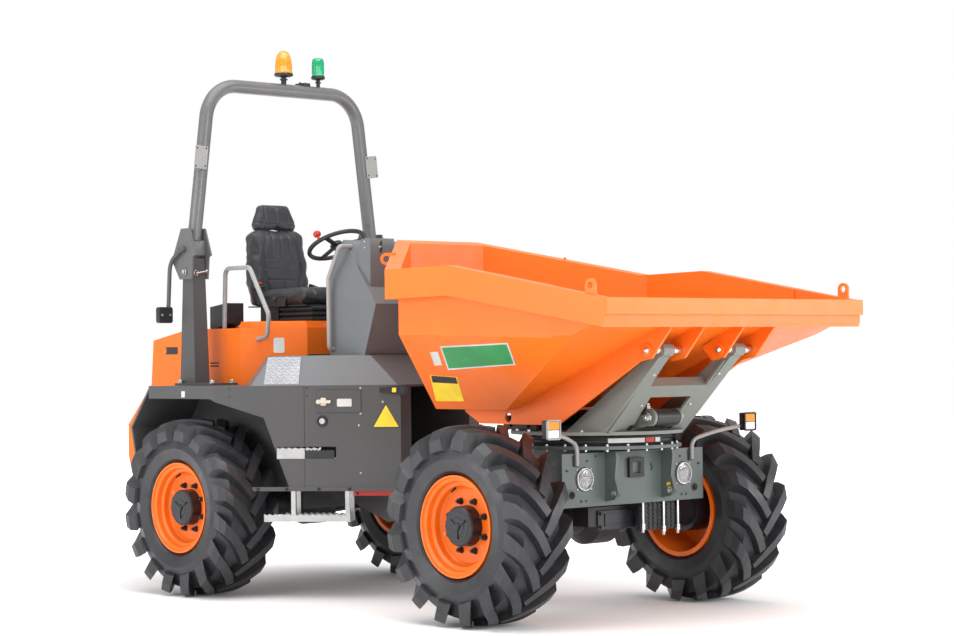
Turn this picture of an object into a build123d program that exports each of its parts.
from build123d import *
from math import atan2, cos, hypot, radians, sin
import os

# An articulated swivel-tip site dumper: a rear chassis with engine and driver, hinged to a
# front chassis whose turntable carries a skip that swings to both sides and tips forward.
# Frame: +X forward (the way it tips), +Y to the driver's left, +Z up, origin on the ground
# at the middle of the machine. Millimetres. Points of the front chassis and skip are given
# from the front axle's centre, points of the rear chassis from the rear axle's centre.

# ---- driving dimensions --------------------------------------------------------------
WHEELBASE = 2422
FRONT_OVERHANG = 1088        # front axle to the skip's lip
REAR_OVERHANG = 940          # rear axle to the back of the bonnet
TRACK = 1720                 # between the wheels' middle planes
TYRE_RADIUS = 525
TYRE_WIDTH = 405
LUG_HEIGHT = 38
LUGS_PER_ROW = 16
RIM_FLANGE_RADIUS = 274
RIM_WIDTH = 330              # over the flanges
RIM_DISC_INSET = 95          # flange plane to the disc
RIM_DISC = 12
STUD_CIRCLE = 275
STUD_HOLE_RADIUS = 12
HUB_RADIUS = 105
FLAT_CLEARANCE = 6           # between plates that slide over one another
PIN_CLEARANCE = 0.5

LENGTH = FRONT_OVERHANG + WHEELBASE + REAR_OVERHANG
FRONT_AXLE_X = LENGTH / 2 - FRONT_OVERHANG
REAR_AXLE_X = FRONT_AXLE_X - WHEELBASE
AXLE_Z = TYRE_RADIUS
AXLE_HOUSING_RADIUS = 150
AXLE_PAD = 95                # axle centre up to the pads that carry the chassis rails

# articulation
PIVOT_SETBACK = 1050         # front axle back to the steering pivot
PIVOT_X = FRONT_AXLE_X - PIVOT_SETBACK
PIVOT_PIN_RADIUS = 35
YOKE_THICKNESS = 30
YOKE_REACH = 200             # rear chassis' end plate to the pivot
TONGUE_LOW = 35
TONGUE_HIGH = 275
TONGUE_HALF_WIDTH = 95
TONGUE_REACH = 180
RAIL_Y = 220
RAIL_THICKNESS = 20

# turntable
SLEW_OFFSET = 40             # turntable centre, forward of the front axle
SLEW_RADIUS = 470
SLEW_PLATE = 18
SLEW_LOW = 380
SLEW_RING_HEIGHT = 52
SLEW_DISC = SLEW_LOW + SLEW_PLATE + SLEW_RING_HEIGHT + FLAT_CLEARANCE
SLEW_TOP = SLEW_DISC + SLEW_PLATE

# front plate
FRONT_PLATE_X = 317
FRONT_PLATE = 25
FRONT_PLATE_LOW = 81
FRONT_PLATE_HEIGHT = 283
FRONT_PLATE_HALF_WIDTH = 552
TIE_HOLE_Y = 483
TIE_HOLE_RISE = 147
TIE_HOLE_RADIUS = 21
LAMP_Y = 388
LAMP_RISE = 227
LAMP_RADIUS = 62

# skip
SKIP_WALL = 8
SKIP_FLOOR = 590
SKIP_CREASE = 1000
SKIP_HALF_WIDTH = 980        # over the side walls
SKIP_RIM_OUT = 70            # how far the rim stands out of the walls
SKIP_REAR_HALF_WIDTH = 320   # of the rim's rear edge
RIM_REAR_SETBACK = 1232      # rim's rear edge, behind the front axle
RIM_SHOULDER_SETBACK = 503   # where the rear corners meet the sides
RIM_BEND_SETBACK = 33        # where the sides start to drop
RIM_REAR = 1555
RIM_SHOULDER = 1347
RIM_BEND = 1356
RIM_LIP = 1163
RIM_DEPTH = 158
RIM_LIP_TAPER = 45           # the rim narrows towards the lip
LIP_FORWARD = FRONT_OVERHANG - 28
LIP_BAR = 28
SKIP_FLOOR_REAR = 714        # floor's rear end, behind the front axle
SKIP_FLOOR_FRONT = 154
SKIP_FLOOR_HALF_WIDTH = 500
SKIP_FLOOR_CHAMFER = 180     # the floor's rear corners are cut at 45 degrees
EYE_PLATE = 15
EYE_OUTER_RADIUS = 34
EYE_HOLE_RADIUS = 18

# skip pivot and its frame
TILT_FORWARD = 800
TILT_RISE = 903
TILT_PIN_RADIUS = 20
LEG_Y = 280
LEG_THICKNESS = 80
LEG_FOOT_REAR = 115
LEG_FOOT_FRONT = 400
BRACKET_OUTER_Y = 405
BRACKET_INNER_Y = 155
BRACKET_PLATE = 14

# tilt cylinder
CYL_BASE = (530, 547)
CYL_EYE = (-480, 527)
CYL_BARREL_RADIUS = 45
CYL_ROD_RADIUS = 28
CYL_PIN_RADIUS = 20
CYL_EAR_GAP = 85             # barrel's boss, either side of the middle
CYL_LUG_GAP = 37             # rod's eye and its clearance, either side of the middle

# rear body
DECK = 720
DECK_THICKNESS = 12
BODY_LOW = 108
FENDER_HALF_WIDTH = 1000
FENDER_REAR = -321
FENDER_BEND = 331
FENDER_BAND = 75
BODY_FRONT = 1194
BODY_FRONT_HALF_WIDTH = 310
ARCH_WALL_Y = 585
BONNET_HALF_WIDTH = 550
BONNET_FLARE_HALF_WIDTH = 720
BONNET_SPLIT = -408
BONNET_GAP = 6
BONNET_WALL = 8
SEAT_BOX_RISE = 1064         # top of its sides
PEDESTAL_STEP = 41           # raised middle under the seat
PEDESTAL_RISE = SEAT_BOX_RISE + PEDESTAL_STEP
PEDESTAL_REAR = -99
HINGE_KNUCKLE = 9
HINGE_GAP = 2                # under the knuckles
BONNET_HINGE_RISE = SEAT_BOX_RISE + HINGE_KNUCKLE + HINGE_GAP
HINGE_Y = 180
SEAT_BOX_BEND = 6
SEAT_BOX_FRONT = 282
SEAT_BOX_FRONT_HALF_WIDTH = 256
FLOOR = 893
CONSOLE_HALF_WIDTH = 380
CONSOLE_REAR = 592
CONSOLE_TOP = 1575

# roll hoop
ROPS_SETBACK = 243
ROPS_Y = 711
ROPS_HINGE = 1410
ROPS_TOP = 2565
ROPS_TOP_HALF = 583
ROPS_TUBE_RADIUS = 42
ROPS_PIN_RADIUS = 14
ROPS_HEAD_RISE = 80          # hinge pin to the post's top
ROPS_HEAD_WIDTH = 92
ROPS_PLATE = 12
RAIL_TUBE_RADIUS = 14


def save(builder, name):
    builder.part.label = name
    export_step(builder.part, "parts/" + name + ".step")


def elevation(axle_x, y=0.0, thickness=0.0):
    """Side view from an axle's centre, x forward and y up; extruding by thickness centres on y."""
    return Plane(origin=(axle_x, y + thickness / 2, AXLE_Z), x_dir=(1, 0, 0), z_dir=(0, -1, 0))


def plan(axle_x, rise):
    """View from above, from an axle's centre and as high above it as rise."""
    return Plane(origin=(axle_x, 0, AXLE_Z + rise))


def cross_section(x):
    """View along the machine at x, with x to the left and y up from the axles' height."""
    return Plane(origin=(x, 0, AXLE_Z), x_dir=(0, 1, 0), z_dir=(1, 0, 0))


def point(axle_x, x, y, rise):
    """A point given from an axle's centre."""
    return (axle_x + x, y, AXLE_Z + rise)


def bent_tube(points, bend, radius):
    """A round tube through points with bends of one radius, as a private part."""
    with BuildPart(mode=Mode.PRIVATE) as tube:
        with BuildLine(mode=Mode.PRIVATE) as path:
            FilletPolyline(*points, radius=bend)
        with BuildSketch(Plane(origin=path.line @ 0, z_dir=path.line % 0)):
            Circle(radius)
        sweep(path=path.line)
    return tube.part


def three_point_plane(a, b, c):
    """The plane through three points, facing the side from which they run anticlockwise."""
    normal = (Vector(*b) - Vector(*a)).cross(Vector(*c) - Vector(*a))
    return Plane(origin=a, z_dir=normal)


os.makedirs("parts", exist_ok=True)

# ---- wheels, made round the origin with their outer side to +Y ------------------------
WHEEL_SECTION = Plane(origin=(0, 0, 0), x_dir=(0, 1, 0), z_dir=(1, 0, 0))
TYRE_HALF = TYRE_WIDTH / 2
TREAD_RADIUS = TYRE_RADIUS - LUG_HEIGHT
BEAD_RADIUS = RIM_FLANGE_RADIUS - 6
LUG_FOOT_RADIUS = TYRE_RADIUS - 155

# one lug, curving from the shoulder to just past the middle; its tip leads as the wheel rolls
with BuildPart() as lug:
    with BuildSketch(Plane(origin=(LUG_FOOT_RADIUS, 0, 0), x_dir=(0, 0, -1), z_dir=(1, 0, 0))):
        Polygon((150, 8), (62, 78), (-18, 150), (-76, TYRE_HALF + 20), (-172, TYRE_HALF + 20),
                (-74, 108), (10, 30), (112, -38), align=None)
    extrude(amount=TYRE_RADIUS - LUG_FOOT_RADIUS + 10, taper=3)
    with BuildSketch(WHEEL_SECTION):
        Polygon((-60, TREAD_RADIUS - 40), (TYRE_HALF - 90, TREAD_RADIUS - 60),
                (TYRE_HALF - 30, LUG_FOOT_RADIUS + 22),
                (TYRE_HALF - 5, LUG_FOOT_RADIUS + 30), (TYRE_HALF, TYRE_RADIUS - 66),
                (TYRE_HALF - 12, TYRE_RADIUS - 18), (TYRE_HALF - 60, TYRE_RADIUS - 4),
                (TYRE_HALF - 110, TYRE_RADIUS), (-60, TYRE_RADIUS), align=None)
    revolve(axis=Axis.Y, mode=Mode.INTERSECT)

with BuildPart() as tyre_form:
    with BuildSketch(WHEEL_SECTION):
        Polygon((-TYRE_HALF + 62, BEAD_RADIUS), (-TYRE_HALF + 30, BEAD_RADIUS + 22),
                (-TYRE_HALF + 14, BEAD_RADIUS + 84), (-TYRE_HALF + 30, LUG_FOOT_RADIUS + 34),
                (-TYRE_HALF + 80, TREAD_RADIUS - 14), (0, TREAD_RADIUS),
                (TYRE_HALF - 80, TREAD_RADIUS - 14), (TYRE_HALF - 30, LUG_FOOT_RADIUS + 34),
                (TYRE_HALF - 14, BEAD_RADIUS + 84), (TYRE_HALF - 30, BEAD_RADIUS + 22),
                (TYRE_HALF - 62, BEAD_RADIUS), align=None)
    revolve(axis=Axis.Y)
    pitch = 360 / LUGS_PER_ROW
    other_row = lug.part.mirror(Plane.XZ)
    add([Rot(0, i * pitch, 0) * lug.part for i in range(LUGS_PER_ROW)])
    add([Rot(0, (i + 0.5) * pitch, 0) * other_row for i in range(LUGS_PER_ROW)])

RIM_HALF = RIM_WIDTH / 2
SEAT_RADIUS = RIM_FLANGE_RADIUS - 20
DISC_Y = RIM_HALF - RIM_DISC_INSET
with BuildPart() as rim_form:
    with BuildSketch(WHEEL_SECTION):
        Polygon((-RIM_HALF, RIM_FLANGE_RADIUS - 7), (-RIM_HALF, SEAT_RADIUS - 12),
                (DISC_Y - RIM_DISC, SEAT_RADIUS - 40), (DISC_Y - RIM_DISC, HUB_RADIUS + 2),
                (DISC_Y, HUB_RADIUS + 2), (DISC_Y, SEAT_RADIUS - 62), (DISC_Y + 14, SEAT_RADIUS - 48),
                (RIM_HALF - 52, SEAT_RADIUS - 42), (RIM_HALF - 44, SEAT_RADIUS - 24),
                (RIM_HALF - 18, SEAT_RADIUS - 18), (RIM_HALF - 10, SEAT_RADIUS - 2),
                (RIM_HALF, SEAT_RADIUS + 2), (RIM_HALF, RIM_FLANGE_RADIUS - 7),
                (RIM_HALF - 10, RIM_FLANGE_RADIUS - 7), (RIM_HALF - 12, BEAD_RADIUS - 1),
                (-RIM_HALF + 12, BEAD_RADIUS - 1), (-RIM_HALF + 10, RIM_FLANGE_RADIUS - 7), align=None)
    revolve(axis=Axis.Y)
    with BuildSketch(Plane.XZ.offset(-DISC_Y - 1)):
        with PolarLocations(STUD_CIRCLE / 2, 8, start_angle=22.5):
            Circle(STUD_HOLE_RADIUS)
    extrude(amount=RIM_DISC + 2, mode=Mode.SUBTRACT)

HUB_INNER_Y = -RIM_HALF + 30
with BuildPart() as hub_form:
    with BuildSketch(WHEEL_SECTION):
        Polygon((HUB_INNER_Y, 0), (HUB_INNER_Y, HUB_RADIUS + 20), (DISC_Y - RIM_DISC - 0.5, HUB_RADIUS + 20),
                (DISC_Y - RIM_DISC - 0.5, HUB_RADIUS), (RIM_HALF - 30, HUB_RADIUS),
                (RIM_HALF - 22, HUB_RADIUS - 8), (RIM_HALF - 22, 0), align=None)
    revolve(axis=Axis.Y)

for end_name, axle_x in (("front", FRONT_AXLE_X), ("rear", REAR_AXLE_X)):
    for side_name, side in (("right", -1), ("left", 1)):
        for piece_name, form in (("tyre", tyre_form), ("rim", rim_form), ("hub", hub_form)):
            with BuildPart() as wheel_piece:
                with Locations((axle_x, side * TRACK / 2, AXLE_Z)):
                    add(form.part if side > 0 else form.part.mirror(Plane.XZ))
            save(wheel_piece, "_".join((piece_name, end_name, side_name)))

# ---- axles ---------------------------------------------------------------------------
AXLE_END_Y = TRACK / 2 + HUB_INNER_Y - FLAT_CLEARANCE
for end_name, axle_x in (("front", FRONT_AXLE_X), ("rear", REAR_AXLE_X)):
    with BuildPart() as axle:
        with BuildSketch(cross_section(axle_x)):
            Polygon((0, 0), (0, AXLE_HOUSING_RADIUS), (80, AXLE_HOUSING_RADIUS), (140, 92),
                    (AXLE_END_Y - 130, 60), (AXLE_END_Y - 110, 98), (AXLE_END_Y, 98), (AXLE_END_Y, 0),
                    align=None)
        revolve(axis=Axis((axle_x, 0, AXLE_Z), (0, 1, 0)))
        mirror(about=Plane.XZ)
        for side in (-1, 1):
            with Locations(point(axle_x, 0, side * RAIL_Y, AXLE_PAD / 2)):
                Box(150, 70, AXLE_PAD)
        # cast housing of the drop gears, square to the front
        with Locations(point(axle_x, 110, -70, 12)):
            Box(170, 330, 104)
    save(axle, end_name + "_axle")

# ---- skip ----------------------------------------------------------------------------
RIM_HALF_WIDTH = SKIP_HALF_WIDTH + SKIP_RIM_OUT
RIM_OUTLINE = [
    (-RIM_REAR_SETBACK, -SKIP_REAR_HALF_WIDTH), (-RIM_SHOULDER_SETBACK, -RIM_HALF_WIDTH),
    (LIP_FORWARD, -RIM_HALF_WIDTH + RIM_LIP_TAPER), (LIP_FORWARD, RIM_HALF_WIDTH - RIM_LIP_TAPER),
    (-RIM_SHOULDER_SETBACK, RIM_HALF_WIDTH), (-RIM_REAR_SETBACK, SKIP_REAR_HALF_WIDTH),
]
CREASE_X = 850               # where the front slope meets the crease line
FRONT_SLOPE = atan2(SKIP_CREASE - SKIP_FLOOR, CREASE_X + SKIP_FLOOR_FRONT)
SIDE_SLOPE = atan2(SKIP_CREASE - SKIP_FLOOR, SKIP_HALF_WIDTH - SKIP_FLOOR_HALF_WIDTH)
REAR_FOOT_X = -SKIP_FLOOR_REAR - SKIP_FLOOR_CHAMFER
REAR_SLOPE = atan2(SKIP_CREASE - SKIP_FLOOR, REAR_FOOT_X + RIM_REAR_SETBACK - SKIP_RIM_OUT)
WALL_CORNER_X = -RIM_SHOULDER_SETBACK + SKIP_RIM_OUT * 0.414
CORNER_REACH = (-SKIP_FLOOR_REAR - WALL_CORNER_X + SKIP_HALF_WIDTH - SKIP_FLOOR_HALF_WIDTH) * 0.5 ** 0.5
CORNER_SLOPE = atan2(SKIP_CREASE - SKIP_FLOOR, CORNER_REACH)
SKIP_BLANK_TOP = RIM_REAR + 200


def skip_form(inset):
    """The skip's outer form moved in by inset: upright walls above sloping ones."""
    with BuildPart(mode=Mode.PRIVATE) as form:
        with BuildSketch(plan(FRONT_AXLE_X, SKIP_FLOOR + inset)):
            Polygon(*RIM_OUTLINE, align=None)
            offset(amount=-SKIP_RIM_OUT - inset, kind=Kind.INTERSECTION)
            with Locations((LIP_FORWARD - 200, 0)):
                Rectangle(400, 2 * (SKIP_HALF_WIDTH - 22 - inset))
        extrude(amount=SKIP_BLANK_TOP - SKIP_FLOOR - inset)
        slopes = [((-SKIP_FLOOR_FRONT, 0), (-sin(FRONT_SLOPE), 0, cos(FRONT_SLOPE))),
                  ((REAR_FOOT_X, 0), (sin(REAR_SLOPE), 0, cos(REAR_SLOPE)))]
        for side in (-1, 1):
            slopes.append(((0, side * SKIP_FLOOR_HALF_WIDTH), (0, -side * sin(SIDE_SLOPE), cos(SIDE_SLOPE))))
            lean = sin(CORNER_SLOPE) * 0.5 ** 0.5
            slopes.append(((-SKIP_FLOOR_REAR, side * SKIP_FLOOR_HALF_WIDTH),
                           (lean, -side * lean, cos(CORNER_SLOPE))))
        for (foot_x, foot_y), normal in slopes:
            foot = point(FRONT_AXLE_X, foot_x, foot_y, SKIP_FLOOR)
            split(bisect_by=Plane(origin=foot, z_dir=normal).offset(inset), keep=Keep.TOP)
    return form.part


EYE_Y = RIM_HALF_WIDTH - 59
LIFT_EYE = (967, 1224)
REAR_EYE_OUT = 26
REAR_EYE_RISE = 1425
RIM_SPAN = 2 * RIM_HALF_WIDTH
with BuildPart() as skip:
    # rim band, standing out all round
    with BuildSketch(plan(FRONT_AXLE_X, SKIP_CREASE)):
        Polygon(*RIM_OUTLINE, align=None)
    extrude(amount=SKIP_BLANK_TOP - SKIP_CREASE)
    with BuildSketch(elevation(FRONT_AXLE_X)):
        Polygon((-RIM_REAR_SETBACK - 50, SKIP_CREASE - 60),
                (-RIM_REAR_SETBACK - 50, RIM_REAR - RIM_DEPTH + 14),
                (-RIM_SHOULDER_SETBACK, RIM_SHOULDER - RIM_DEPTH), (-RIM_BEND_SETBACK, RIM_BEND - RIM_DEPTH),
                (LIP_FORWARD + 50, RIM_LIP - RIM_DEPTH + 5), (LIP_FORWARD + 50, SKIP_CREASE - 60),
                align=None)
    extrude(amount=RIM_SPAN, both=True, mode=Mode.SUBTRACT)
    add(skip_form(0))
    add(skip_form(SKIP_WALL), mode=Mode.SUBTRACT)
    with BuildSketch(elevation(FRONT_AXLE_X)):
        Polygon((-RIM_REAR_SETBACK - 50, RIM_REAR + 14), (-RIM_SHOULDER_SETBACK, RIM_SHOULDER),
                (-RIM_BEND_SETBACK, RIM_BEND), (LIP_FORWARD + 50, RIM_LIP - 9),
                (LIP_FORWARD + 50, SKIP_BLANK_TOP + 10), (-RIM_REAR_SETBACK - 50, SKIP_BLANK_TOP + 10),
                align=None)
    extrude(amount=RIM_SPAN, both=True, mode=Mode.SUBTRACT)
    # lip bar across the front
    with BuildSketch(elevation(FRONT_AXLE_X)):
        Polygon((LIP_FORWARD - 60, RIM_LIP - 128), (LIP_FORWARD + 6, RIM_LIP - 128),
                (LIP_FORWARD + 6, RIM_LIP - 82), (LIP_FORWARD + LIP_BAR, RIM_LIP - 82),
                (LIP_FORWARD + LIP_BAR, RIM_LIP), (LIP_FORWARD - 60, RIM_LIP), align=None)
    extrude(amount=RIM_HALF_WIDTH - RIM_LIP_TAPER, both=True)
    for side in (-1, 1):
        # side plates under the skip: along the floor, up the front slope to the pivots and the lip
        with BuildSketch(elevation(FRONT_AXLE_X, side * BRACKET_OUTER_Y, BRACKET_PLATE)):
            Polygon((-571, SKIP_FLOOR + 4), (-571, SKIP_FLOOR - 15), (-450, SKIP_FLOOR - 80),
                    (150, SKIP_FLOOR - 80), (TILT_FORWARD - 55, TILT_RISE - 58),
                    (TILT_FORWARD + 30, TILT_RISE - 43), (LIP_FORWARD - 70, 1045),
                    (LIP_FORWARD - 140, 1050), (-SKIP_FLOOR_FRONT, SKIP_FLOOR + 4), align=None)
            with Locations((-229, SKIP_FLOOR - 44)):
                Circle(25, mode=Mode.SUBTRACT)
        extrude(amount=BRACKET_PLATE)
        # inner plates of the pivots
        with BuildSketch(elevation(FRONT_AXLE_X, side * BRACKET_INNER_Y, BRACKET_PLATE)):
            Polygon((TILT_FORWARD - 120, TILT_RISE + 12), (TILT_FORWARD - 55, TILT_RISE - 58),
                    (TILT_FORWARD + 30, TILT_RISE - 43), (LIP_FORWARD - 70, 1045), (LIP_FORWARD - 140, 1050),
                    align=None)
        extrude(amount=BRACKET_PLATE)
        # pivot pins
        with BuildSketch(elevation(FRONT_AXLE_X, side * (BRACKET_OUTER_Y + BRACKET_INNER_Y) / 2)):
            with Locations((TILT_FORWARD, TILT_RISE)):
                Circle(TILT_PIN_RADIUS)
        extrude(amount=(BRACKET_OUTER_Y - BRACKET_INNER_Y) / 2 + BRACKET_PLATE, both=True)
        # lifting eyes by the lip
        with BuildSketch(elevation(FRONT_AXLE_X, side * EYE_Y, EYE_PLATE)):
            with Locations(LIFT_EYE):
                Circle(EYE_OUTER_RADIUS)
            with Locations((LIFT_EYE[0], LIFT_EYE[1] - 40)):
                Rectangle(2 * EYE_OUTER_RADIUS, 80)
            with Locations(LIFT_EYE):
                Circle(EYE_HOLE_RADIUS, mode=Mode.SUBTRACT)
        extrude(amount=EYE_PLATE)
        # lifting eyes on the rear corners, square to their cut faces
        mid_x = -(RIM_REAR_SETBACK + RIM_SHOULDER_SETBACK) / 2
        mid_y = side * (SKIP_REAR_HALF_WIDTH + RIM_HALF_WIDTH) / 2
        along_corner = (side * 0.5 ** 0.5, 0.5 ** 0.5, 0)
        corner = Plane(origin=point(FRONT_AXLE_X, mid_x, mid_y, REAR_EYE_RISE),
                       x_dir=(-0.5 ** 0.5, side * 0.5 ** 0.5, 0), z_dir=along_corner)
        with BuildSketch(corner.offset(-EYE_PLATE / 2)):
            with Locations((REAR_EYE_OUT, 0)):
                Circle(EYE_OUTER_RADIUS)
            Rectangle(2 * REAR_EYE_OUT, 2 * EYE_OUTER_RADIUS)
            with Locations((REAR_EYE_OUT, 0)):
                Circle(EYE_HOLE_RADIUS, mode=Mode.SUBTRACT)
        extrude(amount=EYE_PLATE)
        # lugs of the tilt cylinder's rod under the floor, each with its end of the pin
        with BuildSketch(elevation(FRONT_AXLE_X, side * (CYL_LUG_GAP + 8), 16)):
            Polygon((CYL_EYE[0] - 70, SKIP_FLOOR + 4), (CYL_EYE[0] - 40, CYL_EYE[1] - 35),
                    (CYL_EYE[0] + 40, CYL_EYE[1] - 35), (CYL_EYE[0] + 70, SKIP_FLOOR + 4), align=None)
        extrude(amount=16)
        with BuildSketch(elevation(FRONT_AXLE_X, side * (CYL_LUG_GAP + 18), 4)):
            with Locations(CYL_EYE):
                Circle(CYL_PIN_RADIUS + 6)
        extrude(amount=4)
save(skip, "skip")

# ---- slew frame ----------------------------------------------------------------------
LEG_TOP_RADIUS = 36
SLOPE_RUN = TILT_FORWARD - LEG_FOOT_FRONT
SLOPE_RISE = TILT_RISE - SLEW_TOP
SLOPE_LENGTH = hypot(SLOPE_RUN, SLOPE_RISE)
SLOPE_PLATE = 14
WINDOW_HALF_WIDTH = 140
BEAM_LOW = 260               # cross beam, measured up the slope
BEAM_HIGH = 342
with BuildPart() as slew_frame:
    with BuildSketch(plan(FRONT_AXLE_X, SLEW_DISC)):
        with Locations((SLEW_OFFSET, 0)):
            Circle(SLEW_RADIUS)
    extrude(amount=SLEW_PLATE)
    # two legs lean forward from the disc to the skip's pivots
    for side in (-1, 1):
        with BuildSketch(elevation(FRONT_AXLE_X, side * LEG_Y, LEG_THICKNESS)):
            Polygon((LEG_FOOT_REAR, SLEW_TOP - 2), (LEG_FOOT_FRONT, SLEW_TOP - 2),
                    (TILT_FORWARD + LEG_TOP_RADIUS, TILT_RISE), (TILT_FORWARD - LEG_TOP_RADIUS, TILT_RISE),
                    align=None)
            with Locations((TILT_FORWARD, TILT_RISE)):
                Circle(LEG_TOP_RADIUS)
                Circle(TILT_PIN_RADIUS + PIN_CLEARANCE, mode=Mode.SUBTRACT)
        extrude(amount=LEG_THICKNESS)
    # sloping plate over the legs' front edges, with a window above and below the cross beam
    slope = Plane(origin=point(FRONT_AXLE_X, LEG_FOOT_FRONT, 0, SLEW_TOP), x_dir=(0, 1, 0),
                  z_dir=(SLOPE_RISE, 0, -SLOPE_RUN))
    with BuildSketch(slope):
        with Locations((0, (SLOPE_LENGTH - 70) / 2)):
            Rectangle(2 * LEG_Y + 40, SLOPE_LENGTH - 70)
        Polygon((-WINDOW_HALF_WIDTH, 25), (WINDOW_HALF_WIDTH, 25), (WINDOW_HALF_WIDTH + 20, BEAM_LOW),
                (-WINDOW_HALF_WIDTH - 20, BEAM_LOW), align=None, mode=Mode.SUBTRACT)
        Polygon((-LEG_Y + 60, BEAM_HIGH), (LEG_Y - 60, BEAM_HIGH), (LEG_Y - 50, SLOPE_LENGTH),
                (-LEG_Y + 50, SLOPE_LENGTH), align=None, mode=Mode.SUBTRACT)
    extrude(amount=SLOPE_PLATE)
    with BuildSketch(slope):
        with Locations((0, (BEAM_LOW + BEAM_HIGH) / 2)):
            Rectangle(2 * LEG_Y, BEAM_HIGH - BEAM_LOW)
    extrude(amount=-50)
    # ears and pin of the tilt cylinder's base
    for side in (-1, 1):
        with BuildSketch(elevation(FRONT_AXLE_X, side * (CYL_EAR_GAP + 16), 18)):
            Polygon((LEG_FOOT_FRONT - 130, SLEW_TOP - 2), (LEG_FOOT_FRONT - 10, SLEW_TOP - 2),
                    (CYL_BASE[0] + 34, CYL_BASE[1] - 30), (CYL_BASE[0], CYL_BASE[1] + 46),
                    (CYL_BASE[0] - 44, CYL_BASE[1] + 20), align=None)
            with Locations(CYL_BASE):
                Circle(46)
        extrude(amount=18)
    with BuildSketch(elevation(FRONT_AXLE_X)):
        with Locations(CYL_BASE):
            Circle(CYL_PIN_RADIUS)
    extrude(amount=CYL_EAR_GAP + 40, both=True)
save(slew_frame, "slew_frame")

# ---- tilt cylinder, barrel hinged on the slew frame and rod reaching under the skip --------
cyl_start = Vector(*point(FRONT_AXLE_X, CYL_BASE[0], 0, CYL_BASE[1]))
cyl_axis = Vector(*point(FRONT_AXLE_X, CYL_EYE[0], 0, CYL_EYE[1])) - cyl_start
CYL_PINS = cyl_axis.length
CYL_BACK = 60                # pin to the barrel's end
CYL_GLAND_GAP = 130          # rod's eye to the barrel's gland
along = Plane(origin=cyl_start, x_dir=(0, 1, 0), z_dir=cyl_axis)
with BuildPart() as tilt_barrel:
    with BuildSketch(along.offset(CYL_BACK)):
        Circle(CYL_BARREL_RADIUS)
    extrude(amount=CYL_PINS - CYL_BACK - CYL_GLAND_GAP)
    with BuildSketch(along.offset(CYL_PINS - CYL_GLAND_GAP - 60)):
        Circle(CYL_BARREL_RADIUS + 5)
    extrude(amount=50)
    with BuildSketch(along.offset(CYL_BACK + 20)):
        Circle(CYL_ROD_RADIUS + 1)
    extrude(amount=CYL_PINS, mode=Mode.SUBTRACT)
    with BuildSketch(elevation(FRONT_AXLE_X)):
        with Locations(CYL_BASE):
            Circle(44)
    extrude(amount=CYL_EAR_GAP, both=True)
    with BuildSketch(along.offset(20)):
        Rectangle(70, 70)
    extrude(amount=CYL_BACK)
    with BuildSketch(elevation(FRONT_AXLE_X)):
        with Locations(CYL_BASE):
            Circle(CYL_PIN_RADIUS + PIN_CLEARANCE)
    extrude(amount=CYL_EAR_GAP + 20, both=True, mode=Mode.SUBTRACT)
save(tilt_barrel, "tilt_cylinder_barrel")
with BuildPart() as tilt_rod:
    with BuildSketch(along.offset(CYL_BACK + 30)):
        Circle(CYL_ROD_RADIUS)
    extrude(amount=CYL_PINS - CYL_BACK - 30)
    # the eye keeps the middle of its pin, because it stays between the lugs as it moves
    with BuildSketch(elevation(FRONT_AXLE_X)):
        with Locations(CYL_EYE):
            Circle(CYL_PIN_RADIUS + 14)
    extrude(amount=CYL_LUG_GAP - FLAT_CLEARANCE, both=True)
save(tilt_rod, "tilt_cylinder_rod")

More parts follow.
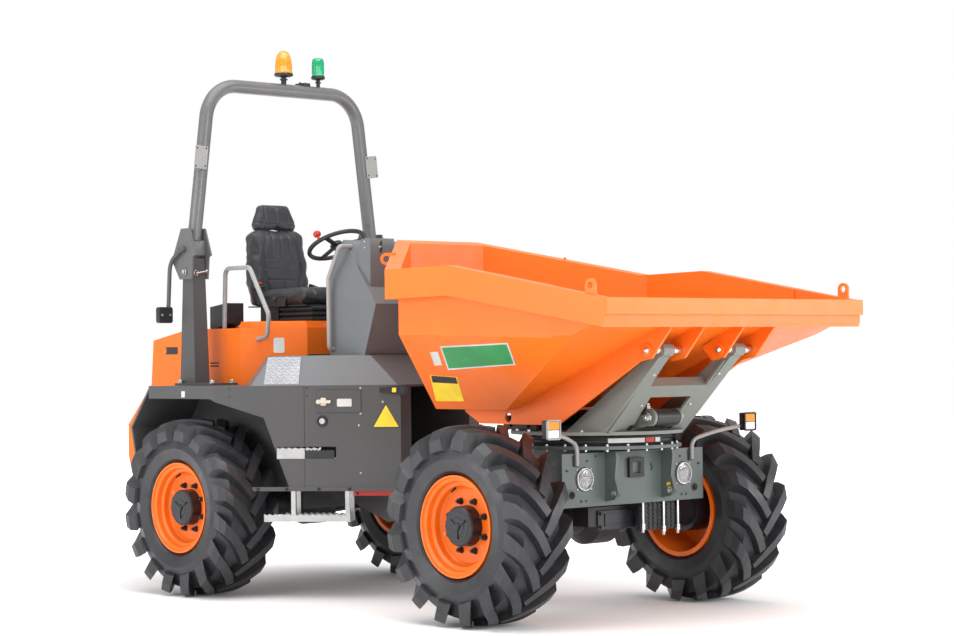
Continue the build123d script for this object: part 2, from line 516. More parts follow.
# ---- front chassis ---------------------------------------------------------------------
TONGUE_BACK = -PIVOT_SETBACK
RECEIVER_RISE = 275
with BuildPart() as front_frame:
    for side in (-1, 1):
        with BuildSketch(elevation(FRONT_AXLE_X, side * RAIL_Y, RAIL_THICKNESS)):
            Polygon((TONGUE_BACK + TONGUE_REACH, TONGUE_LOW), (TONGUE_BACK + TONGUE_REACH, TONGUE_HIGH),
                    (-560, SLEW_LOW), (FRONT_PLATE_X, SLEW_LOW), (FRONT_PLATE_X, AXLE_PAD), (-200, AXLE_PAD),
                    (-420, TONGUE_LOW), align=None)
            # its front end stands out of the front plate as a rib with an eye
            Polygon((FRONT_PLATE_X - 10, FRONT_PLATE_LOW + 20), (FRONT_PLATE_X + 70, FRONT_PLATE_LOW + 34),
                    (FRONT_PLATE_X + 98, TIE_HOLE_RISE), (FRONT_PLATE_X + 72, LAMP_RISE),
                    (FRONT_PLATE_X + 86, LAMP_RISE + 110), (FRONT_PLATE_X + 80, LAMP_RISE + 137),
                    (FRONT_PLATE_X - 10, LAMP_RISE + 137), align=None)
            with Locations((FRONT_PLATE_X + 66, TIE_HOLE_RISE)):
                Circle(18, mode=Mode.SUBTRACT)
        extrude(amount=RAIL_THICKNESS)
    with BuildSketch(cross_section(FRONT_AXLE_X + FRONT_PLATE_X - FRONT_PLATE)):
        with Locations((0, FRONT_PLATE_LOW + FRONT_PLATE_HEIGHT / 2)):
            Rectangle(2 * FRONT_PLATE_HALF_WIDTH, FRONT_PLATE_HEIGHT)
        with Locations((-TIE_HOLE_Y, TIE_HOLE_RISE), (TIE_HOLE_Y, TIE_HOLE_RISE)):
            Circle(TIE_HOLE_RADIUS, mode=Mode.SUBTRACT)
        with Locations((-LAMP_Y, LAMP_RISE), (LAMP_Y, LAMP_RISE)):
            Circle(LAMP_RADIUS + 2, mode=Mode.SUBTRACT)
    extrude(amount=FRONT_PLATE)
    # square receiver for a drawbar
    with BuildSketch(cross_section(FRONT_AXLE_X + FRONT_PLATE_X)):
        with Locations((0, RECEIVER_RISE)):
            Rectangle(110, 100)
            Rectangle(62, 62, mode=Mode.SUBTRACT)
    extrude(amount=18)
    # top plate under the turntable and its ring
    with BuildSketch(plan(FRONT_AXLE_X, SLEW_LOW)):
        with Locations((SLEW_OFFSET, 0)):
            Circle(SLEW_RADIUS - 10)
    extrude(amount=SLEW_PLATE)
    with BuildSketch(plan(FRONT_AXLE_X, SLEW_LOW + SLEW_PLATE)):
        with Locations((SLEW_OFFSET, 0)):
            Circle(SLEW_RADIUS - 70)
            Circle(SLEW_RADIUS - 170, mode=Mode.SUBTRACT)
    extrude(amount=SLEW_RING_HEIGHT)
    # tongue with the steering pivot's eye, and the cross box that carries it
    with BuildSketch(plan(FRONT_AXLE_X, TONGUE_LOW)):
        with Locations((TONGUE_BACK + (TONGUE_REACH + 60) / 2, 0)):
            Rectangle(TONGUE_REACH + 60, 2 * TONGUE_HALF_WIDTH)
        with Locations((TONGUE_BACK + TONGUE_REACH + 30, 0)):
            Rectangle(60, 2 * RAIL_Y)
        with Locations((TONGUE_BACK, 0)):
            Circle(TONGUE_HALF_WIDTH)
            Circle(PIVOT_PIN_RADIUS + PIN_CLEARANCE, mode=Mode.SUBTRACT)
    extrude(amount=TONGUE_HIGH - TONGUE_LOW)
save(front_frame, "front_frame")

MARKER = (458, 771, 501)
for side_name, side in (("right", -1), ("left", 1)):
    with BuildPart() as headlamp:
        # body in the plate's hole, held by a flange behind it
        with BuildSketch(cross_section(FRONT_AXLE_X + FRONT_PLATE_X - FRONT_PLATE)):
            with Locations((side * LAMP_Y, LAMP_RISE)):
                Circle(LAMP_RADIUS + 16)
        extrude(amount=-10)
        with BuildSketch(cross_section(FRONT_AXLE_X + FRONT_PLATE_X - FRONT_PLATE)):
            with Locations((side * LAMP_Y, LAMP_RISE)):
                Circle(LAMP_RADIUS)
        extrude(amount=FRONT_PLATE - 4)
        with BuildSketch(cross_section(FRONT_AXLE_X + FRONT_PLATE_X - 4)):
            with Locations((side * LAMP_Y, LAMP_RISE)):
                Circle(LAMP_RADIUS - 10)
        extrude(amount=8)
    save(headlamp, "headlamp_" + side_name)
    with BuildPart() as marker:
        with Locations(point(FRONT_AXLE_X, MARKER[0], side * MARKER[1], MARKER[2])):
            Box(50, 100, 105)
        foot_x = FRONT_PLATE_X + 12
        with Locations(point(FRONT_AXLE_X, FRONT_PLATE_X + 4, side * 450, 325)):
            Box(8, 44, 60)
        arm = [point(FRONT_AXLE_X, foot_x, side * 450, 305), point(FRONT_AXLE_X, foot_x, side * 450, 410),
               point(FRONT_AXLE_X, foot_x + 60, side * 600, 455),
               point(FRONT_AXLE_X, MARKER[0] - 20, side * 735, MARKER[2] - 20)]
        add(bent_tube(arm, 40, 11))
    save(marker, "marker_lamp_" + side_name)

# ---- rear chassis ----------------------------------------------------------------------
YOKE_BACK = PIVOT_X - REAR_AXLE_X - YOKE_REACH
RAIL_REAR = -820
YOKE_LOWS = (TONGUE_LOW - FLAT_CLEARANCE - YOKE_THICKNESS, TONGUE_HIGH + FLAT_CLEARANCE)
with BuildPart() as rear_frame:
    for side in (-1, 1):
        with BuildSketch(elevation(REAR_AXLE_X, side * RAIL_Y, RAIL_THICKNESS)):
            Polygon((RAIL_REAR, 35), (RAIL_REAR, 235), (250, 335), (YOKE_BACK, TONGUE_HIGH + 80),
                    (YOKE_BACK, TONGUE_LOW - 80), (YOKE_BACK - 190, TONGUE_LOW - 120), (420, AXLE_PAD),
                    (-200, AXLE_PAD), (-420, 35), align=None)
        extrude(amount=RAIL_THICKNESS)
    with BuildSketch(cross_section(REAR_AXLE_X + YOKE_BACK - 25)):
        with Locations((0, (TONGUE_LOW + TONGUE_HIGH) / 2)):
            Rectangle(2 * RAIL_Y + RAIL_THICKNESS, TONGUE_HIGH - TONGUE_LOW + 160)
    extrude(amount=25)
    # yokes above and below the tongue, and the pivot pin
    for low in YOKE_LOWS:
        with BuildSketch(plan(PIVOT_X, low)):
            Polygon((-YOKE_REACH - 5, -RAIL_Y), (0, -80), (60, -40), (60, 40), (0, 80),
                    (-YOKE_REACH - 5, RAIL_Y), align=None)
        extrude(amount=YOKE_THICKNESS)
    with BuildSketch(plan(PIVOT_X, YOKE_LOWS[0] - 12)):
        Circle(PIVOT_PIN_RADIUS)
    extrude(amount=YOKE_LOWS[1] - YOKE_LOWS[0] + YOKE_THICKNESS + 24)
save(rear_frame, "rear_frame")

# bumper across the rear with a towing jaw
BUMPER_REAR = -REAR_OVERHANG + 60
with BuildPart() as bumper:
    with BuildSketch(elevation(REAR_AXLE_X)):
        Polygon((BUMPER_REAR, -60), (BUMPER_REAR, 85), (RAIL_REAR, 85), (RAIL_REAR, -30),
                (RAIL_REAR - 25, -60), align=None)
    extrude(amount=430, both=True)
    for low in (-35, 35):
        with BuildSketch(plan(REAR_AXLE_X, low)):
            Polygon((BUMPER_REAR + 5, -55), (BUMPER_REAR - 40, -40), (BUMPER_REAR - 55, -20),
                    (BUMPER_REAR - 55, 20), (BUMPER_REAR - 40, 40), (BUMPER_REAR + 5, 55), align=None)
        extrude(amount=14)
    with BuildSketch(plan(REAR_AXLE_X, -50)):
        with Locations((BUMPER_REAR - 32, 0)):
            Circle(11)
    extrude(amount=120)
save(bumper, "rear_bumper")

ENGINE_LOW = AXLE_HOUSING_RADIUS + 15
ENGINE_X = -330
ENGINE_LENGTH = 900
ENGINE_HEIGHT = 460
with BuildPart() as engine:
    with BuildSketch(elevation(REAR_AXLE_X)):
        with Locations((ENGINE_X, ENGINE_LOW + ENGINE_HEIGHT / 2)):
            Rectangle(ENGINE_LENGTH, ENGINE_HEIGHT)
    extrude(amount=RAIL_Y - RAIL_THICKNESS / 2, both=True)
save(engine, "engine_block")

with BuildPart() as deck:
    with BuildSketch(plan(REAR_AXLE_X, DECK - DECK_THICKNESS)):
        Polygon((FENDER_REAR, -FENDER_HALF_WIDTH), (FENDER_BEND, -FENDER_HALF_WIDTH),
                (BODY_FRONT, -BODY_FRONT_HALF_WIDTH), (BODY_FRONT, BODY_FRONT_HALF_WIDTH),
                (FENDER_BEND, FENDER_HALF_WIDTH), (FENDER_REAR, FENDER_HALF_WIDTH), align=None)
    extrude(amount=DECK_THICKNESS)
save(deck, "deck")

# the side panels run at an angle from the fenders to the narrow front
PANEL_RUN = BODY_FRONT - FENDER_BEND
PANEL_FALL = FENDER_HALF_WIDTH - BODY_FRONT_HALF_WIDTH
PANEL_LENGTH = hypot(PANEL_RUN, PANEL_FALL)
ARCH_TOP = DECK - FENDER_BAND
STEP_HIGH = (371, 723, 295, 365)     # along the panel and above the axle
STEP_LOW = (293, 802, -70, -24)
FENDER_SHEET = 14


def panel_plane(side):
    """Plane of a side panel, x forward along it from the fender's bend and y up."""
    return Plane(origin=point(REAR_AXLE_X, FENDER_BEND, side * FENDER_HALF_WIDTH, 0),
                 x_dir=(PANEL_RUN, -side * PANEL_FALL, 0),
                 z_dir=(-side * PANEL_FALL, -PANEL_RUN, 0))


for side_name, side in (("right", -1), ("left", 1)):
    inner = side * (RAIL_Y + RAIL_THICKNESS / 2)
    with BuildPart() as side_body:
        with BuildSketch(plan(REAR_AXLE_X, BODY_LOW)):
            Polygon((FENDER_REAR, side * FENDER_HALF_WIDTH), (FENDER_BEND, side * FENDER_HALF_WIDTH),
                    (BODY_FRONT, side * BODY_FRONT_HALF_WIDTH), (BODY_FRONT, inner),
                    (FENDER_REAR - 224, inner), (FENDER_REAR - 224, side * ARCH_WALL_Y),
                    (FENDER_REAR, side * ARCH_WALL_Y), align=None)
        extrude(amount=DECK - DECK_THICKNESS - BODY_LOW)
        # wheel arch
        with BuildSketch(elevation(REAR_AXLE_X, side * ARCH_WALL_Y)):
            Polygon((FENDER_REAR - 10, BODY_LOW - 10), (FENDER_REAR - 10, ARCH_TOP), (294, ARCH_TOP),
                    (562, 534), (677, 133), (677, BODY_LOW - 10), align=None)
        extrude(amount=-side * 600, mode=Mode.SUBTRACT)
        # rear end of the fender, a bent sheet
        with BuildSketch(elevation(REAR_AXLE_X, side * ARCH_WALL_Y)):
            Polygon((FENDER_REAR, DECK - DECK_THICKNESS), (-509, 470), (-468, 300),
                    (-468 + FENDER_SHEET, 304), (-509 + FENDER_SHEET + 2, 468),
                    (FENDER_REAR, DECK - DECK_THICKNESS - 22), align=None)
        extrude(amount=-side * (FENDER_HALF_WIDTH - ARCH_WALL_Y))
        # pocket of the upper step, and the door's seam
        with BuildSketch(panel_plane(side)):
            with Locations(((STEP_HIGH[0] + STEP_HIGH[1]) / 2, (STEP_HIGH[2] + STEP_HIGH[3]) / 2)):
                Rectangle(STEP_HIGH[1] - STEP_HIGH[0], STEP_HIGH[3] - STEP_HIGH[2])
        extrude(amount=-110, both=True, mode=Mode.SUBTRACT)
        with BuildSketch(panel_plane(side)):
            with Locations((538, 450)):
                Rectangle(4, 900)
        extrude(amount=3, both=True, mode=Mode.SUBTRACT)
    save(side_body, "side_body_" + side_name)

# serrated treads: one set into each panel, one hung below it
TREAD_SHEET = 5
TOOTH_PITCH = 36


def serrated_strip(start, end, low, high):
    """Outline of an upright strip whose top edge is toothed."""
    count = int((end - start) // TOOTH_PITCH)
    outline = [(start, low), (end, low), (end, high)]
    for i in range(count):
        tooth_end = end - i * (end - start) / count
        outline += [(tooth_end - 8, high), (tooth_end - TOOTH_PITCH / 2 + 2, high - 9)]
    return outline + [(start, high)]


for side_name, side in (("right", -1), ("left", 1)):
    face = panel_plane(side)
    with BuildPart() as upper_step:
        with BuildSketch(face.offset(side * 6)):
            Polygon(*serrated_strip(STEP_HIGH[0], STEP_HIGH[1] - 90, STEP_HIGH[2], STEP_HIGH[3] - 4),
                    align=None)
        extrude(amount=side * TREAD_SHEET)
        with BuildSketch(face.offset(side * 6)):
            with Locations(((STEP_HIGH[0] + STEP_HIGH[1]) / 2, STEP_HIGH[2] + TREAD_SHEET / 2)):
                Rectangle(STEP_HIGH[1] - STEP_HIGH[0], TREAD_SHEET)
        extrude(amount=side * 104)
    save(upper_step, "step_upper_" + side_name)
    with BuildPart() as lower_step:
        for inset in (0, 140):
            with BuildSketch(face.offset(side * inset)):
                Polygon(*serrated_strip(*STEP_LOW), align=None)
                for hanger in (STEP_LOW[0] + 175, STEP_LOW[1] - 15):
                    with Locations((hanger, (BODY_LOW + STEP_LOW[2]) / 2)):
                        Rectangle(26, BODY_LOW - STEP_LOW[2])
            extrude(amount=side * TREAD_SHEET)
        with BuildSketch(face):
            with Locations(((STEP_LOW[0] + STEP_LOW[1]) / 2, STEP_LOW[2] + TREAD_SHEET / 2)):
                Rectangle(STEP_LOW[1] - STEP_LOW[0], TREAD_SHEET)
        extrude(amount=side * 145)
        # cut back clear of the wheel
        with BuildSketch(elevation(REAR_AXLE_X, side * ARCH_WALL_Y)):
            Circle(TYRE_RADIUS + 25)
        extrude(amount=-side * 600, mode=Mode.SUBTRACT)
    save(lower_step, "step_lower_" + side_name)

# bar that locks the steering for transport, stowed under the right panel
with BuildPart() as lock_bar:
    with BuildSketch(panel_plane(-1).offset(-45)):
        with Locations((PANEL_LENGTH - 150, BODY_LOW - 14)):
            Rectangle(270, 28)
        with Locations((PANEL_LENGTH - 260, BODY_LOW - 14), (PANEL_LENGTH - 40, BODY_LOW - 14)):
            Circle(8, mode=Mode.SUBTRACT)
    extrude(amount=28)
save(lock_bar, "lock_bar")

# ---- seat box and bonnet -----------------------------------------------------------------
VENT_X = -261
VENT_RISE = DECK + 124
with BuildPart() as seat_box:
    with BuildSketch(plan(REAR_AXLE_X, DECK)):
        Polygon((BONNET_SPLIT, -BONNET_HALF_WIDTH), (SEAT_BOX_BEND, -BONNET_HALF_WIDTH),
                (SEAT_BOX_FRONT, -SEAT_BOX_FRONT_HALF_WIDTH), (SEAT_BOX_FRONT, SEAT_BOX_FRONT_HALF_WIDTH),
                (SEAT_BOX_BEND, BONNET_HALF_WIDTH), (BONNET_SPLIT, BONNET_HALF_WIDTH), align=None)
    extrude(amount=SEAT_BOX_RISE - DECK)
    with BuildSketch(plan(REAR_AXLE_X, SEAT_BOX_RISE)):
        Polygon((PEDESTAL_REAR, -480), (SEAT_BOX_BEND + 10, -480),
                (SEAT_BOX_FRONT - 20, -SEAT_BOX_FRONT_HALF_WIDTH + 11),
                (SEAT_BOX_FRONT - 20, SEAT_BOX_FRONT_HALF_WIDTH - 11), (SEAT_BOX_BEND + 10, 480),
                (PEDESTAL_REAR, 480), align=None)
    extrude(amount=PEDESTAL_RISE - SEAT_BOX_RISE, taper=12)
    # cooling slots in both sides
    for slot_rise in (VENT_RISE - 9, VENT_RISE + 9):
        with BuildSketch(elevation(REAR_AXLE_X, 0)):
            with Locations((VENT_X, slot_rise)):
                SlotOverall(92, 9)
        extrude(amount=BONNET_HALF_WIDTH + 5, both=True, mode=Mode.SUBTRACT)
    with BuildSketch(elevation(REAR_AXLE_X, 0)):
        with Locations((VENT_X, VENT_RISE)):
            Rectangle(120, 60)
    extrude(amount=BONNET_HALF_WIDTH - 12, both=True)
    # knuckles and leaves of the bonnet's hinges
    for side in (-1, 1):
        with BuildSketch(elevation(REAR_AXLE_X, side * (HINGE_Y + 22), 36)):
            with Locations((BONNET_SPLIT, BONNET_HINGE_RISE)):
                Circle(HINGE_KNUCKLE)
            with Locations((BONNET_SPLIT + 25, SEAT_BOX_RISE + 4)):
                Rectangle(50, 8)
        extrude(amount=36)
save(seat_box, "seat_box")

BONNET_FALL = 66             # of its top, towards the rear
BONNET_PROFILE = [
    (-REAR_OVERHANG + 40, SEAT_BOX_RISE - BONNET_FALL), (BONNET_SPLIT - 170, SEAT_BOX_RISE - 9),
    (BONNET_SPLIT - BONNET_GAP, SEAT_BOX_RISE), (BONNET_SPLIT - BONNET_GAP, DECK + 5),
    (BONNET_SPLIT - 152, DECK + 5), (BONNET_SPLIT - 152, 95), (-REAR_OVERHANG + 60, 95),
    (-REAR_OVERHANG, 280), (-REAR_OVERHANG, 430), (-REAR_OVERHANG + 15, DECK),
]


def bonnet_form(inset):
    """The bonnet's outer form moved in by inset: upright above the deck, flared below it."""
    with BuildPart(mode=Mode.PRIVATE) as form:
        with BuildSketch(elevation(REAR_AXLE_X)):
            Polygon(*BONNET_PROFILE, align=None)
            if inset:
                offset(amount=-inset, kind=Kind.INTERSECTION)
                # open to the engine in front and below
                Polygon((BONNET_SPLIT + 50, SEAT_BOX_RISE - inset), (BONNET_SPLIT + 50, DECK - 20),
                        (BONNET_SPLIT - 92, DECK - 20), (BONNET_SPLIT - 92, 60),
                        (-REAR_OVERHANG + 60 + inset, 60), (-REAR_OVERHANG + inset, 300),
                        (-REAR_OVERHANG + 50 + inset, SEAT_BOX_RISE - 134),
                        (BONNET_SPLIT - 60, SEAT_BOX_RISE - inset - 12), align=None)
        extrude(amount=BONNET_FLARE_HALF_WIDTH, both=True)
        with BuildSketch(cross_section(REAR_AXLE_X - REAR_OVERHANG - 10)):
            half = BONNET_HALF_WIDTH - inset
            flare = BONNET_FLARE_HALF_WIDTH - inset
            Polygon((-half, DECK), (-flare, 470), (-flare, 50), (flare, 50), (flare, 470), (half, DECK),
                    (half, SEAT_BOX_RISE + 50), (-half, SEAT_BOX_RISE + 50), align=None)
        extrude(amount=REAR_OVERHANG, mode=Mode.INTERSECT)
    return form.part


with BuildPart() as bonnet:
    add(bonnet_form(0))
    add(bonnet_form(BONNET_WALL), mode=Mode.SUBTRACT)
    # radiator grille in the rear face
    with BuildSketch(cross_section(REAR_AXLE_X - REAR_OVERHANG - 5)):
        with Locations((0, 575)):
            with GridLocations(420, 36, 2, 7):
                Rectangle(360, 16)
    extrude(amount=60, mode=Mode.SUBTRACT)
    # knuckles and leaves of its hinges, beside those on the seat box
    for side in (-1, 1):
        with BuildSketch(elevation(REAR_AXLE_X, side * (HINGE_Y + 80), 72)):
            with Locations((BONNET_SPLIT, BONNET_HINGE_RISE)):
                Circle(HINGE_KNUCKLE)
            Polygon((BONNET_SPLIT - 60, SEAT_BOX_RISE - 10), (BONNET_SPLIT - 8, SEAT_BOX_RISE - 8),
                    (BONNET_SPLIT - 2, BONNET_HINGE_RISE), (BONNET_SPLIT - 60, SEAT_BOX_RISE + 4),
                    align=None)
        extrude(amount=72)
save(bonnet, "bonnet")

# ---- platform and console ------------------------------------------------------------------
PLATFORM_REAR = (62, 550)
PLATFORM_CORNER = (502, 860)
PLATFORM_FRONT = (1182, 320)
FLOOR_CORNER = (522, 720)
FLOOR_FRONT = 982
with BuildPart() as platform:
    with BuildSketch(plan(REAR_AXLE_X, DECK)):
        Polygon((0, 0), (0, PLATFORM_REAR[1]), PLATFORM_REAR, PLATFORM_CORNER, PLATFORM_FRONT,
                (PLATFORM_FRONT[0], 0), align=None)
    extrude(amount=FLOOR - DECK)
    # its three outer faces slope in to the floor
    slopes = [(PLATFORM_REAR, PLATFORM_CORNER, FLOOR_CORNER),
              (PLATFORM_CORNER, PLATFORM_FRONT, FLOOR_CORNER),
              (PLATFORM_FRONT, (PLATFORM_FRONT[0], 0), (FLOOR_FRONT, 0))]
    for low_start, low_end, high in slopes:
        face = three_point_plane(point(REAR_AXLE_X, *low_start, DECK), point(REAR_AXLE_X, *low_end, DECK),
                                 point(REAR_AXLE_X, *high, FLOOR))
        split(bisect_by=face, keep=Keep.TOP)
    mirror(about=Plane.XZ)
    add(seat_box.part, mode=Mode.SUBTRACT)
save(platform, "platform")

CONSOLE_SHOULDER = 1300
UPSTAND_HEIGHT = 300
CONSOLE_VERTEX = (1067, 1190)
with BuildPart() as console:
    with BuildSketch(elevation(REAR_AXLE_X)):
        Polygon((CONSOLE_REAR, FLOOR), (CONSOLE_REAR, CONSOLE_SHOULDER), (CONSOLE_REAR + 130, CONSOLE_TOP),
                (CONSOLE_REAR + 165, CONSOLE_TOP - 30), CONSOLE_VERTEX, (FLOOR_FRONT - 20, FLOOR),
                align=None)
    extrude(amount=-CONSOLE_HALF_WIDTH)
    with BuildSketch(plan(REAR_AXLE_X, FLOOR)):
        Polygon((CONSOLE_REAR, CONSOLE_HALF_WIDTH - 60), (CONSOLE_REAR - 10, CONSOLE_HALF_WIDTH - 60),
                (CONSOLE_REAR - 10, CONSOLE_HALF_WIDTH + 10), (CONSOLE_REAR + 60, CONSOLE_HALF_WIDTH + 10),
                (CONSOLE_REAR + 60, CONSOLE_HALF_WIDTH), align=None)
    extrude(amount=CONSOLE_TOP - FLOOR, mode=Mode.SUBTRACT)
    # its upper sides lean in
    lean = three_point_plane(
        point(REAR_AXLE_X, CONSOLE_REAR, CONSOLE_HALF_WIDTH, CONSOLE_SHOULDER - 25),
        point(REAR_AXLE_X, CONSOLE_VERTEX[0], CONSOLE_HALF_WIDTH, CONSOLE_VERTEX[1]),
        point(REAR_AXLE_X, CONSOLE_REAR + 148, CONSOLE_HALF_WIDTH - 45, CONSOLE_TOP - 15))
    split(bisect_by=lean, keep=Keep.TOP)
    mirror(about=Plane.XZ)
    # bracket plate on the front slope
    with BuildSketch(cross_section(REAR_AXLE_X + 972)):
        with Locations((-250, CONSOLE_TOP - UPSTAND_HEIGHT / 2)):
            Rectangle(180, UPSTAND_HEIGHT)
    extrude(amount=8)
save(console, "console")

RAIL_OFF = 32                # console rail's middle, out of the console's side
SEAT_RAIL_Y = 505
SEAT_RAIL_HEIGHT = 368       # above the seat box's sides
for side_name, side in (("right", -1), ("left", 1)):
    out = CONSOLE_HALF_WIDTH + RAIL_OFF
    route = [(680, CONSOLE_HALF_WIDTH - 12, FLOOR + 37), (680, out, FLOOR + 37),
             (678, out, CONSOLE_SHOULDER + 43), (780, out, CONSOLE_TOP - 42),
             (780, CONSOLE_HALF_WIDTH - 60, CONSOLE_TOP - 42)]
    with BuildPart() as console_rail:
        add(bent_tube([point(REAR_AXLE_X, x, side * y, rise) for x, y, rise in route], 20, RAIL_TUBE_RADIUS))
        add(console.part, mode=Mode.SUBTRACT)
    save(console_rail, "console_rail_" + side_name)
    route = [(-215, SEAT_RAIL_Y, 0), (-200, SEAT_RAIL_Y, SEAT_RAIL_HEIGHT),
             (60, SEAT_RAIL_Y + 15, SEAT_RAIL_HEIGHT), (245, SEAT_RAIL_Y + 15, 76),
             (200, SEAT_RAIL_Y - 5, -54), (50, SEAT_RAIL_Y - 35, -72)]
    with BuildPart() as seat_rail:
        add(bent_tube([point(REAR_AXLE_X, x, side * y, SEAT_BOX_RISE + rise) for x, y, rise in route],
                      45, RAIL_TUBE_RADIUS))
        add(seat_box.part, mode=Mode.SUBTRACT)
    save(seat_rail, "seat_rail_" + side_name)

# steering wheel: a ring with three spokes, a turning knob and its column
WHEEL_CENTRE = (262, 1571)
WHEEL_RING = 175
WHEEL_TUBE = 14
COLUMN_RADIUS = 24
wheel_plane = Plane(origin=point(REAR_AXLE_X, WHEEL_CENTRE[0], 0, WHEEL_CENTRE[1]), x_dir=(0, 1, 0),
                    z_dir=(-0.45, 0, 0.893))
column_knee = wheel_plane.from_local_coords((0, 0, -170))
with BuildPart() as steering_wheel:
    with BuildSketch(Plane(origin=wheel_plane.origin, x_dir=(0, 1, 0), z_dir=-wheel_plane.y_dir)):
        with Locations((WHEEL_RING, 0)):
            RegularPolygon(WHEEL_TUBE, 8)
    revolve(axis=Axis(wheel_plane.origin, wheel_plane.z_dir))
    with BuildSketch(wheel_plane.offset(-10)):
        Circle(42)
        for i in range(3):
            with Locations(Rot(0, 0, 90 + 120 * i) * Pos(WHEEL_RING / 2, 0)):
                Rectangle(WHEEL_RING, 26)
    extrude(amount=12)
    with BuildSketch(wheel_plane.offset(WHEEL_TUBE - 2)):
        with Locations((WHEEL_RING * 0.7, WHEEL_RING * 0.714)):
            Circle(21)
    extrude(amount=42)
    column_foot = point(REAR_AXLE_X, CONSOLE_REAR, 0, CONSOLE_SHOULDER - 110)
    add(bent_tube([wheel_plane.origin, column_knee, column_foot], 50, COLUMN_RADIUS))
    add(console.part, mode=Mode.SUBTRACT)
save(steering_wheel, "steering_wheel")

# ---- seat ------------------------------------------------------------------------------------
SUSPENSION_HEIGHT = 100
PAN_RISE = PEDESTAL_RISE + SUSPENSION_HEIGHT
PAN_SHEET = 8
CUSHION_HEIGHT = 110
SEAT_WIDTH = 470
CUSHION_REAR = -248
CUSHION_FRONT = 232
BACK_THICKNESS = 110
BACK_HEIGHT = 490
BACK_LEAN = radians(7)
FOLDS = 3


def bellows_side(half, fold):
    """Half-folded side view of a bellows, from its foot to its head."""
    outline = []
    for i in range(FOLDS):
        low = PEDESTAL_RISE + i * fold
        outline += [(half - 14, low), (half, low + 0.3 * fold), (half, low + 0.7 * fold)]
    outline.append((half - 14, PEDESTAL_RISE + FOLDS * fold))
    return outline + [(-x, rise) for x, rise in reversed(outline)]


FOLD = (PAN_RISE - PAN_SHEET - PEDESTAL_RISE) / FOLDS
BELLOWS_X = 85
with BuildPart() as seat_base:
    with BuildSketch(elevation(REAR_AXLE_X + BELLOWS_X)):
        Polygon(*bellows_side(160, FOLD), align=None)
    extrude(amount=300, both=True)
    with BuildSketch(cross_section(REAR_AXLE_X + BELLOWS_X - 170)):
        Polygon(*bellows_side(185, FOLD), align=None)
    extrude(amount=340, mode=Mode.INTERSECT)
    # suspension unit behind it, and the pan over both
    with Locations(point(REAR_AXLE_X, -200, 0, (SEAT_BOX_RISE + PAN_RISE - PAN_SHEET) / 2)):
        Box(180, 330, PAN_RISE - PAN_SHEET - SEAT_BOX_RISE)
    with BuildSketch(plan(REAR_AXLE_X, PAN_RISE - PAN_SHEET)):
        with Locations(((CUSHION_REAR - BACK_THICKNESS + BELLOWS_X + 130) / 2, 0)):
            Rectangle(BELLOWS_X + 130 - CUSHION_REAR + BACK_THICKNESS, SEAT_WIDTH - 50)
    extrude(amount=PAN_SHEET)
save(seat_base, "seat_base")

with BuildPart() as seat_cushion:
    with BuildSketch(elevation(REAR_AXLE_X)):
        Polygon((CUSHION_REAR, PAN_RISE), (CUSHION_FRONT - 40, PAN_RISE), (CUSHION_FRONT, PAN_RISE + 35),
                (CUSHION_FRONT - 12, PAN_RISE + 92), (CUSHION_FRONT - 60, PAN_RISE + CUSHION_HEIGHT),
                (CUSHION_REAR, PAN_RISE + CUSHION_HEIGHT - 18), align=None)
    extrude(amount=SEAT_WIDTH / 2, both=True)
    chamfer(seat_cushion.edges().filter_by(Axis.Z), 30)
save(seat_cushion, "seat_cushion")

back_plane = Plane(origin=point(REAR_AXLE_X, CUSHION_REAR - 2, 0, PAN_RISE), x_dir=(0, 1, 0),
                   z_dir=(cos(BACK_LEAN), 0, sin(BACK_LEAN)))
with BuildPart() as seat_back:
    with BuildSketch(back_plane):
        Polygon((-190, 0), (190, 0), (SEAT_WIDTH / 2, 150), (SEAT_WIDTH / 2, 270), (205, BACK_HEIGHT - 30),
                (150, BACK_HEIGHT), (-150, BACK_HEIGHT), (-205, BACK_HEIGHT - 30), (-SEAT_WIDTH / 2, 270),
                (-SEAT_WIDTH / 2, 150), align=None)
    extrude(amount=-BACK_THICKNESS)
    split(bisect_by=plan(REAR_AXLE_X, PAN_RISE), keep=Keep.TOP)
    chamfer(seat_back.faces().sort_by(Axis((0, 0, 0), back_plane.z_dir))[-1].edges(), 16)
save(seat_back, "seat_back")

with BuildPart() as headrest:
    with BuildSketch(back_plane.offset(-8)):
        Polygon((-150, BACK_HEIGHT), (150, BACK_HEIGHT), (165, BACK_HEIGHT + 40), (110, BACK_HEIGHT + 160),
                (-110, BACK_HEIGHT + 160), (-165, BACK_HEIGHT + 40), align=None)
    extrude(amount=-70)
    chamfer(headrest.faces().sort_by(Axis((0, 0, 0), back_plane.z_dir))[-1].edges(), 12)
save(headrest, "headrest")

# air intake cowl on the seat box's ledge
with BuildPart() as intake:
    with BuildSketch(elevation(REAR_AXLE_X, -415, 130)):
        Polygon((-395, SEAT_BOX_RISE), (-330, SEAT_BOX_RISE), (-225, SEAT_BOX_RISE + 34),
                (-225, SEAT_BOX_RISE + 158), (-395, SEAT_BOX_RISE + 136), align=None)
    extrude(amount=130)
save(intake, "air_intake")

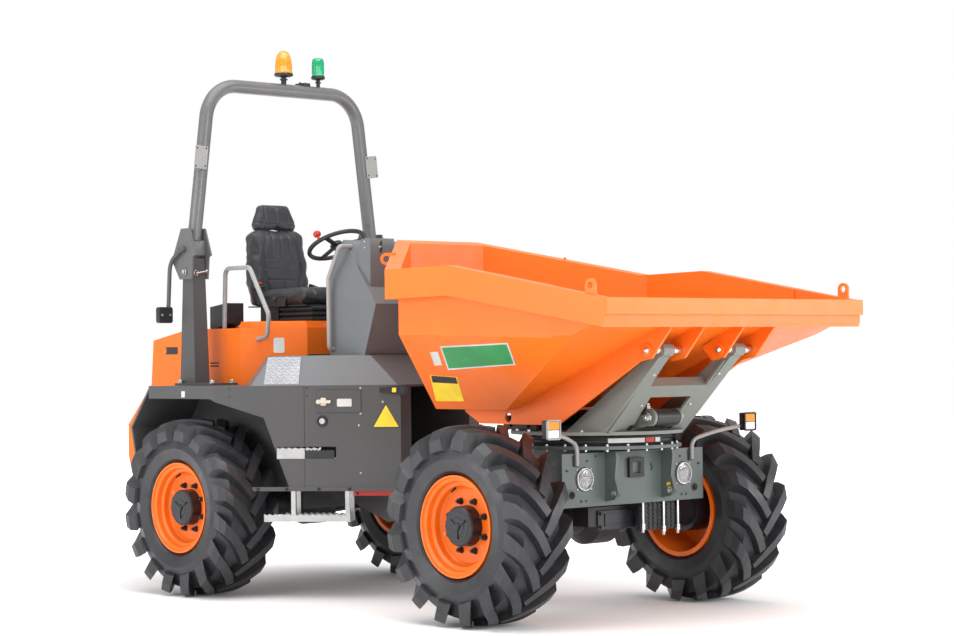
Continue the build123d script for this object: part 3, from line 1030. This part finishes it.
# ---- folding roll hoop -------------------------------------------------------------------------
HEAD_HALF = ROPS_HEAD_WIDTH / 2
HOOP_PLATE_Y = HEAD_HALF + FLAT_CLEARANCE + ROPS_PLATE / 2
CAP_LOW = ROPS_HEAD_RISE + 20
CAP_HIGH = CAP_LOW + 90
REAR_LAMP_RISE = ROPS_HINGE - 260
LAMP_ARM_Y = 795
LAMP_ARM_RADIUS = 13.5
for side_name, side in (("right", -1), ("left", 1)):
    with BuildPart() as post:
        with Locations(point(REAR_AXLE_X, (FENDER_REAR + 4 + 53) / 2, side * ROPS_Y, DECK + 7)):
            Box(53 - FENDER_REAR - 4, 200, 14)
        with BuildSketch(plan(REAR_AXLE_X, DECK + 14)):
            with Locations((-ROPS_SETBACK, side * ROPS_Y)):
                Rectangle(150, 110)
        with BuildSketch(plan(REAR_AXLE_X, ROPS_HINGE + ROPS_HEAD_RISE)):
            with Locations((-ROPS_SETBACK, side * ROPS_Y)):
                Rectangle(ROPS_HEAD_WIDTH, ROPS_HEAD_WIDTH)
        loft()
        # hinge pin through the hoop's plates
        with BuildSketch(elevation(REAR_AXLE_X, side * ROPS_Y)):
            with Locations((-ROPS_SETBACK, ROPS_HINGE)):
                Circle(ROPS_PIN_RADIUS)
        extrude(amount=HOOP_PLATE_Y + ROPS_PLATE / 2 + 5, both=True)
    save(post, "rops_post_" + side_name)
    # rear lamp on an arm that springs from the hoop's outer plate
    with BuildPart() as rear_lamp:
        route = [(-258, ROPS_HINGE + 135), (-375, ROPS_HINGE + 64), (-398, REAR_LAMP_RISE)]
        arm_inner = ROPS_Y + HOOP_PLATE_Y + ROPS_PLATE / 2
        arm_depth = LAMP_ARM_Y + LAMP_ARM_RADIUS + 2 - arm_inner
        with BuildSketch(elevation(REAR_AXLE_X, side * (arm_inner + arm_depth / 2), arm_depth)):
            with Locations(route[0]):
                Circle(LAMP_ARM_RADIUS + 8)
        extrude(amount=arm_depth)
        add(bent_tube([point(REAR_AXLE_X, x, side * LAMP_ARM_Y, rise) for x, rise in route], 60,
                      LAMP_ARM_RADIUS))
        with Locations(point(REAR_AXLE_X, -402, side * (LAMP_ARM_Y + 27), REAR_LAMP_RISE)):
            Box(40, 105, 100)
    save(rear_lamp, "rear_lamp_" + side_name)

with BuildPart() as hoop:
    rops_x = REAR_AXLE_X - ROPS_SETBACK
    feet = AXLE_Z + ROPS_HINGE + CAP_HIGH - 20
    top = AXLE_Z + ROPS_TOP
    add(bent_tube([(rops_x, -ROPS_Y, feet), (rops_x, -ROPS_TOP_HALF, top), (rops_x, ROPS_TOP_HALF, top),
                   (rops_x, ROPS_Y, feet)], 230, ROPS_TUBE_RADIUS))
    cap_rise = ROPS_HINGE + (CAP_LOW + CAP_HIGH) / 2
    for side in (-1, 1):
        with Locations(point(REAR_AXLE_X, -ROPS_SETBACK, side * ROPS_Y, cap_rise)):
            Box(96, 2 * (HEAD_HALF + FLAT_CLEARANCE) + 2, CAP_HIGH - CAP_LOW)
        for flank in (-1, 1):
            with BuildSketch(elevation(REAR_AXLE_X, side * ROPS_Y + flank * HOOP_PLATE_Y, ROPS_PLATE)):
                with Locations((-ROPS_SETBACK, ROPS_HINGE)):
                    Polygon((-45, 265), (-140, 70), (-120, 45), (-62, -45), (62, -45), (75, 90), (100, 100),
                            (40, 265), align=None)
                    Circle(ROPS_PIN_RADIUS + PIN_CLEARANCE, mode=Mode.SUBTRACT)
            extrude(amount=ROPS_PLATE)
save(hoop, "rops_hoop")

BEACON_FOOT = ROPS_TOP + ROPS_TUBE_RADIUS - 2
for name, y, radius, height in (("beacon_amber", 0, 60, 160), ("beacon_green", 280, 45, 136)):
    with BuildPart() as beacon:
        with BuildSketch(plan(REAR_AXLE_X, BEACON_FOOT)):
            with Locations((-ROPS_SETBACK, y)):
                Circle(radius * 0.35)
        extrude(amount=64)
        with BuildSketch(plan(REAR_AXLE_X, BEACON_FOOT + 44)):
            with Locations((-ROPS_SETBACK, y)):
                Circle(radius)
        extrude(amount=20)
        with BuildSketch(plan(REAR_AXLE_X, BEACON_FOOT + 64)):
            with Locations((-ROPS_SETBACK, y)):
                Circle(radius - 4)
        extrude(amount=height - 10, taper=4)
        add(hoop.part, mode=Mode.SUBTRACT)
    save(beacon, name)
